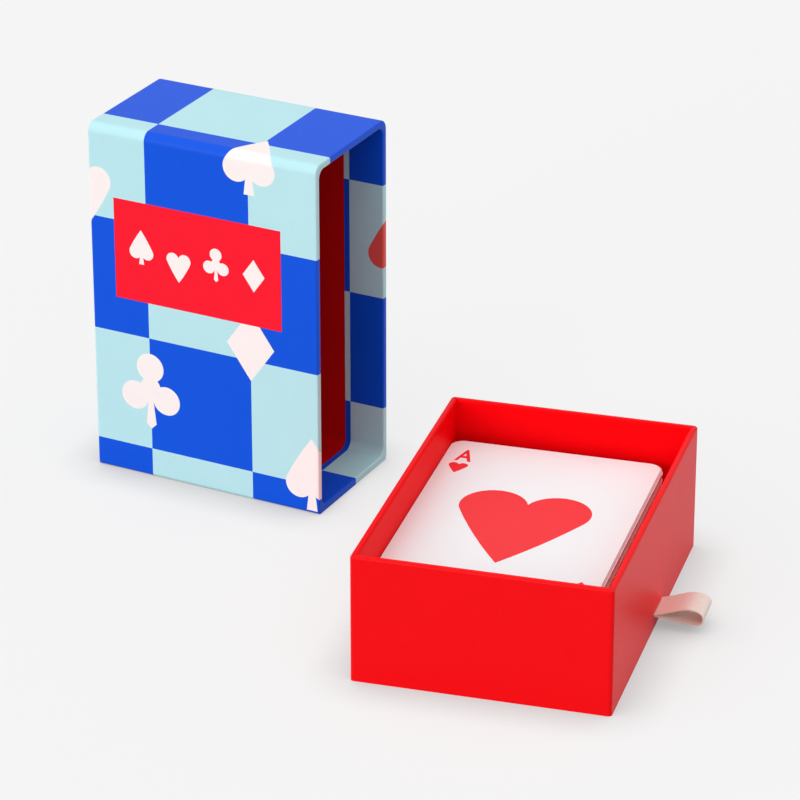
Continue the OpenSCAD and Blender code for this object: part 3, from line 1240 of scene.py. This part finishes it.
def star_outline(points, inner):
    """A star with its tips 1 from the middle."""
    turns = [math.pi / 2 + math.pi * step / points for step in range(2 * points)]
    return [
        Vector((math.cos(turn), math.sin(turn))) * (inner if step % 2 else 1.0)
        for step, turn in enumerate(turns)
    ]


def crown_outline(tips):
    """A crown 2 wide and 1.2 high, with some tips."""
    top = [
        Vector((1 - step / tips, 1.2 if step % 2 else 0.6))
        for step in range(2 * tips + 1)
    ]
    return [Vector((-0.85, 0)), Vector((0.85, 0))] + top


def frame_outline(size, width):
    """A rectangular line, cut open at one corner so that it is one outline."""
    rounds = []
    for half, ways in (
        (size, ((1, 1), (-1, 1), (-1, -1), (1, -1))),
        (size - Vector((width, width)), ((1, -1), (-1, -1), (-1, 1), (1, 1))),
    ):
        rounds += [Vector((x * half.x, y * half.y)) for x, y in ways]
    return rounds


def stamp(card, mesh, place, ink):
    """Prints a mark on a card that is being put together."""
    first_vertex, first_face = len(card.verts), len(card.faces)
    card.from_mesh(mesh)
    card.verts.ensure_lookup_table()
    card.faces.ensure_lookup_table()
    bmesh.ops.transform(card, matrix=place, verts=card.verts[first_vertex:])
    for face in card.faces[first_face:]:
        face.material_index = ink


def at(place, size, turned=False):
    """A mark's place and size on a card, turned about the card's middle for the lower half."""
    turn = Matrix.Rotation(math.pi if turned else 0, 4, "Z")
    return turn @ Matrix.Translation((place[0], place[1], 0)) @ Matrix.Diagonal((size[0], size[1], 1, 1))


def level_places(node):
    """The middle of the underside of each card in a CAD node, from the bottom up, along the tray's axes."""
    points = points_in(node, tray_place)
    levels = sorted({round(point.z / NEAR) for point in points})
    places = []
    for level in levels[::2]:
        low, high = box_of([point for point in points if round(point.z / NEAR) == level])
        places.append((low + high) / 2)
    return places


class DECK_OT_cards(bpy.types.Operator):
    """Cuts and prints the 52 cards and the two jokers."""

    bl_idname = "deck.cards"
    bl_label = "Cards"

    def execute(self, context):
        look = context.scene.deck_cards
        low, high = corners_in("ace_of_hearts", tray_place)
        self.size = high - low
        self.blank = self.cut_blank(look)
        self.signs = {
            suit: solid_mark(suit + "_sign", whole_outline(half_outline(suit)), look.ink_height)
            for suit in SIGN_LOBE
        }
        self.letters = {rank: letter_mark(text, look.ink_height) for rank, text in INDEX.items()}
        self.star = solid_mark("star", star_outline(STAR_TIPS, STAR_INNER), look.ink_height)
        self.crowns = {
            rank: solid_mark(rank + "_crown", crown_outline(tips), look.ink_height)
            for rank, tips in (("jack", 1), ("queen", 3), ("king", 5))
        }
        self.line = solid_mark("court_line", frame_outline(COURT_FRAME, COURT_LINE), look.ink_height)
        self.inks = card_materials(look)

        for suit in ("diamonds", "spades", "hearts"):
            for rank in RANKS:
                node = f"{rank}_of_{suit}"
                self.print_card(node + "_card", node, level_places(node)[0], suit, rank)
        for rank, place in zip(RANKS[::-1], level_places("clubs")):
            self.print_card(f"{rank}_of_clubs_card", "clubs", place, "clubs", rank)
        for number, place in enumerate(level_places("jokers")):
            self.print_joker(f"joker_{number + 1}_card", "jokers", place, (BLACK_INK, RED_INK)[number])
        return {"FINISHED"}

    def cut_blank(self, look):
        """A bare card with round corners, its middle at the origin."""
        half = Vector((self.size.x / 2, self.size.y / 2, 0))
        blank = start_block("card_blank", -half, half + Vector((0, 0, self.size.z)))
        round_off(runs_along(Z), look.corner_radius, CORNER_STEPS)
        flat = either(faces_way((0, 0, 1)), faces_way((0, 0, -1)))
        round_off(meets(flat, lambda face: abs(face.normal.z) < TILTED), look.edge_radius, 2)
        bpy.ops.object.mode_set(mode="OBJECT")
        map_flat(blank, "card", lambda point, face: point.xy)
        for face in blank.data.polygons:
            face.material_index = STOCK if face.normal.z > 0.9 else BACK if face.normal.z < -0.9 else EDGE
        return take_mesh(blank)

    def print_sign(self, card, suit, place, lobe, ink, turned=False):
        """Prints a suit sign with its middle at a place."""
        foot = (place[0], place[1] + LOBE_HEIGHT[suit] * lobe)
        stamp(card, self.signs[suit], self.top @ at(foot, (lobe, lobe), turned), ink)

    def start_card(self):
        """A blank card to print on."""
        card = bmesh.new()
        card.from_mesh(self.blank)
        self.top = Matrix.Translation((0, 0, self.size.z))
        return card

    def print_index(self, card, mesh, size, ink):
        """Prints the same index in two opposite corners."""
        for turned in (False, True):
            stamp(card, mesh, self.top @ at(INDEX_PLACE, size, turned), ink)

    def print_card(self, name, node, place, suit, rank):
        """Prints one card of a suit."""
        ink = RED_INK if suit in ("hearts", "diamonds") else BLACK_INK
        card = self.start_card()
        self.print_index(card, self.letters[rank], INDEX_SIZE, ink)
        small = SIGN_LOBE[suit] * INDEX_SIGN_SHARE * MM
        for turned in (False, True):
            self.print_sign(card, suit, SIGN_PLACE, small, ink, turned)
        number = RANKS.index(rank) + 1
        lobe = SIGN_LOBE[suit] * MM
        if rank == "ace":
            height = LOBE_HEIGHT[suit] * ACE_LOBE[suit] * MM - ACE_DROP[suit] * MM
            stamp(card, self.signs[suit], self.top @ at((0, height), (ACE_LOBE[suit] * MM,) * 2), ink)
        elif rank in self.crowns:
            stamp(card, self.line, self.top, ink)
            for turned in (False, True):
                stamp(card, self.crowns[rank], self.top @ at(CROWN_PLACE, CROWN_SIZE, turned), ink)
                self.print_sign(card, suit, COURT_SIGN_PLACE, COURT_SIGN_SHARE * lobe, ink, turned)
        else:
            for row in SIDE_ROWS.get(number, ()):
                for column in (-SIGN_COLUMN, SIGN_COLUMN):
                    self.print_sign(card, suit, (column, abs(row) * SIGN_ROW), lobe, ink, row < 0)
            for row in MIDDLE_ROWS.get(number, ()):
                self.print_sign(card, suit, (0, abs(row) * SIGN_ROW), lobe, ink, row < 0)
        self.finish_card(card, name, node, place)

    def print_joker(self, name, node, place, ink):
        """Prints a joker, with a star in the middle and in two corners."""
        card = self.start_card()
        self.print_index(card, self.star, INDEX_STAR, ink)
        stamp(card, self.star, self.top @ at((0, 0), JOKER_STAR), ink)
        self.finish_card(card, name, node, place)

    def finish_card(self, card, name, node, place):
        """Lays a printed card in the tray."""
        data = bpy.data.meshes.new(name)
        for ink in self.inks:
            data.materials.append(ink)
        card.to_mesh(data)
        card.free()
        data.transform(tray_place @ Matrix.Translation(place))
        piece = bpy.data.objects.new(name, data)
        bpy.context.scene.collection.objects.link(piece)
        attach(piece, body_of[node])
        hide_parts(node)


def card_materials(look):
    """The finishes of a card: coated face, cut edge, lattice back, red ink and black ink."""
    return [
        coated_card("card_stock", look.white, 0.38),
        coated_card("card_edge", look.edge, 0.8),
        lattice_back(look),
        coated_card("red_ink", look.red, 0.36),
        coated_card("black_ink", look.black, 0.36),
    ]


def coated_card(name, tint, roughness):
    """Smooth card or ink with a faint grain."""
    return plain_paper(name, tint, roughness, specular=0.2, contrast=0.04)


def lattice_back(look):
    """A white border round a lattice of fine lines."""
    material, graph, shader = new_material("card_back", roughness=0.38, specular=0.3)
    place = surface_place(graph, "card")
    axes = graph.split(place)
    lines = []
    for sign in (1.0, -1.0):
        slant = graph.math("MULTIPLY_ADD", axes[X], sign, axes[Y])
        beat = graph.math("SINE", graph.math("MULTIPLY", slant, math.pi / LATTICE_PITCH))
        swing = graph.math("ABSOLUTE", beat)
        lines.append(graph.math("LESS_THAN", swing, LATTICE_LINE))
    inside = graph.smallest(
        graph.math("LESS_THAN", graph.math("ABSOLUTE", axes[X]), LATTICE_HALF.x),
        graph.math("LESS_THAN", graph.math("ABSOLUTE", axes[Y]), LATTICE_HALF.y),
    )
    dark = graph.smallest(inside, graph.math("SUBTRACT", 1.0, graph.largest(*lines)))
    colours = graph.mix(dark, look.white, look.back)
    finish_paper(graph, shader, colours, contrast=0.05, bump=0.05, height=0.03 * MM)
    return material


# The stage

SENSOR_WIDTH = 36
CAMERA_REACH = 50
FLOOR_SIZE = 12
DOME_EDGE = -0.2
SIDE_EDGE = 0.5


class DECK_OT_stage(bpy.types.Operator):
    """Sets the camera, the pale floor and the soft light."""

    bl_idname = "deck.stage"
    bl_label = "Stage"

    def execute(self, context):
        look = context.scene.deck_stage
        begin()
        bpy.ops.object.camera_add(location=look.camera, rotation=(look.tilt, 0, look.turn))
        camera = bpy.context.active_object
        camera.data.lens = look.lens
        camera.data.sensor_width = SENSOR_WIDTH
        camera.data.clip_end = CAMERA_REACH
        context.scene.camera = camera
        context.scene.view_settings.view_transform = "Standard"

        bpy.ops.mesh.primitive_plane_add(size=FLOOR_SIZE)
        floor = bpy.context.active_object
        floor.name = "studio_floor"
        floor.data.materials.append(self.floor_paper(look))

        key = Vector(look.key).normalized()
        bpy.ops.object.light_add(type="SUN", rotation=key.to_track_quat("Z", "Y").to_euler())
        sun = bpy.context.active_object.data
        sun.energy = look.key_strength
        sun.angle = look.key_size
        self.light_sky(context.scene, look)
        return {"FINISHED"}

    def seen_rays(self, graph):
        """A mask of the rays that see the stage, beside those that only carry its light."""
        rays = graph.add("ShaderNodeLightPath").outputs
        return graph.largest(rays["Is Camera Ray"], rays["Is Glossy Ray"], rays["Is Transmission Ray"])

    def floor_paper(self, look):
        """Pale paper with light, neutral shadows, that throws part of the light back at the box; its glow holds a
        painted contact shadow round the foot of the box.
        """
        material, graph, shader = new_material("studio_floor", roughness=0.9, specular=0.0)
        seen = self.seen_rays(graph)
        lit = [value * (1 - look.floor_glow) for value in look.floor[:3]] + [1.0]
        bounce = [look.floor_bounce] * 3 + [1.0]
        graph.feed(shader["Base Color"], graph.mix(seen, bounce, lit))
        # Painted contact shadow: the glow that the camera sees is darkened towards the contact tone where an
        # occlusion test, leaning the contact way, finds the box near.
        painted_contact_shadow = graph.add("ShaderNodeAmbientOcclusion", samples=16)
        painted_contact_shadow.inputs["Distance"].default_value = look.contact_reach
        painted_contact_shadow.inputs["Normal"].default_value = Vector(look.contact_way).normalized()
        dark = [value * look.contact_tone for value in look.floor[:3]] + [1.0]
        graph.feed(shader["Emission Color"], graph.mix(painted_contact_shadow.outputs["AO"], dark, look.floor))
        graph.feed(shader["Emission Strength"], graph.math("MULTIPLY", seen, look.floor_glow))
        return material

    def light_sky(self, scene, look):
        """A dim sky with a bright dome and a side panel, and plain where it is seen."""
        world = bpy.data.worlds.new("studio")
        world.use_nodes = True
        scene.world = world
        graph = Graph(world.node_tree)
        shade = world.node_tree.nodes["Background"].inputs
        way = graph.add("ShaderNodeTexCoord").outputs["Generated"]
        light = look.sky_dim
        for middle, edge, strength in (
            (look.dome, DOME_EDGE, look.sky_dome),
            (look.side, SIDE_EDGE, look.sky_side),
        ):
            facing = graph.vector("DOT_PRODUCT", way, tuple(Vector(middle).normalized()))
            light = graph.math("ADD", graph.ranged(facing, edge, 1.0, 0.0, strength), light)
        plain = graph.math("SUBTRACT", look.floor[0], light)
        graph.feed(shade["Strength"], graph.math("MULTIPLY_ADD", self.seen_rays(graph), plain, light))
        shade["Color"].default_value = (1, 1, 1, 1)


class DECK_PT_panel(bpy.types.Panel):
    """Lists the steps that dress the deck."""

    bl_idname = "DECK_PT_panel"
    bl_label = "Card deck"
    bl_space_type = "VIEW_3D"
    bl_region_type = "UI"
    bl_category = "Card deck"

    def draw(self, context):
        for step in STEPS:
            self.layout.operator(step.bl_idname)


SETTINGS = {
    "deck_sleeve": SleeveSettings,
    "deck_tray": TraySettings,
    "deck_ribbon": RibbonSettings,
    "deck_cards": CardSettings,
    "deck_stage": StageSettings,
}
STEPS = (
    DECK_OT_sleeve_wrap,
    DECK_OT_sleeve_lining,
    DECK_OT_boards,
    DECK_OT_tray_wrap,
    DECK_OT_ribbon,
    DECK_OT_cards,
    DECK_OT_stage,
)
CLASSES = (*SETTINGS.values(), *STEPS, DECK_PT_panel)


def register():
    """Makes the settings, the operators and the panel known to Blender."""
    for item in CLASSES:
        bpy.utils.register_class(item)
    for name, kind in SETTINGS.items():
        setattr(bpy.types.Scene, name, PointerProperty(type=kind))


def unregister():
    """Takes the settings, the operators and the panel out again."""
    for name in SETTINGS:
        delattr(bpy.types.Scene, name)
    for item in reversed(CLASSES):
        bpy.utils.unregister_class(item)


def main():
    """Registers the add-on and dresses the deck, one step after another."""
    register()
    for step in STEPS:
        group, name = step.bl_idname.split(".")
        getattr(getattr(bpy.ops, group), name)()


if __name__ == "__main__":
    main()
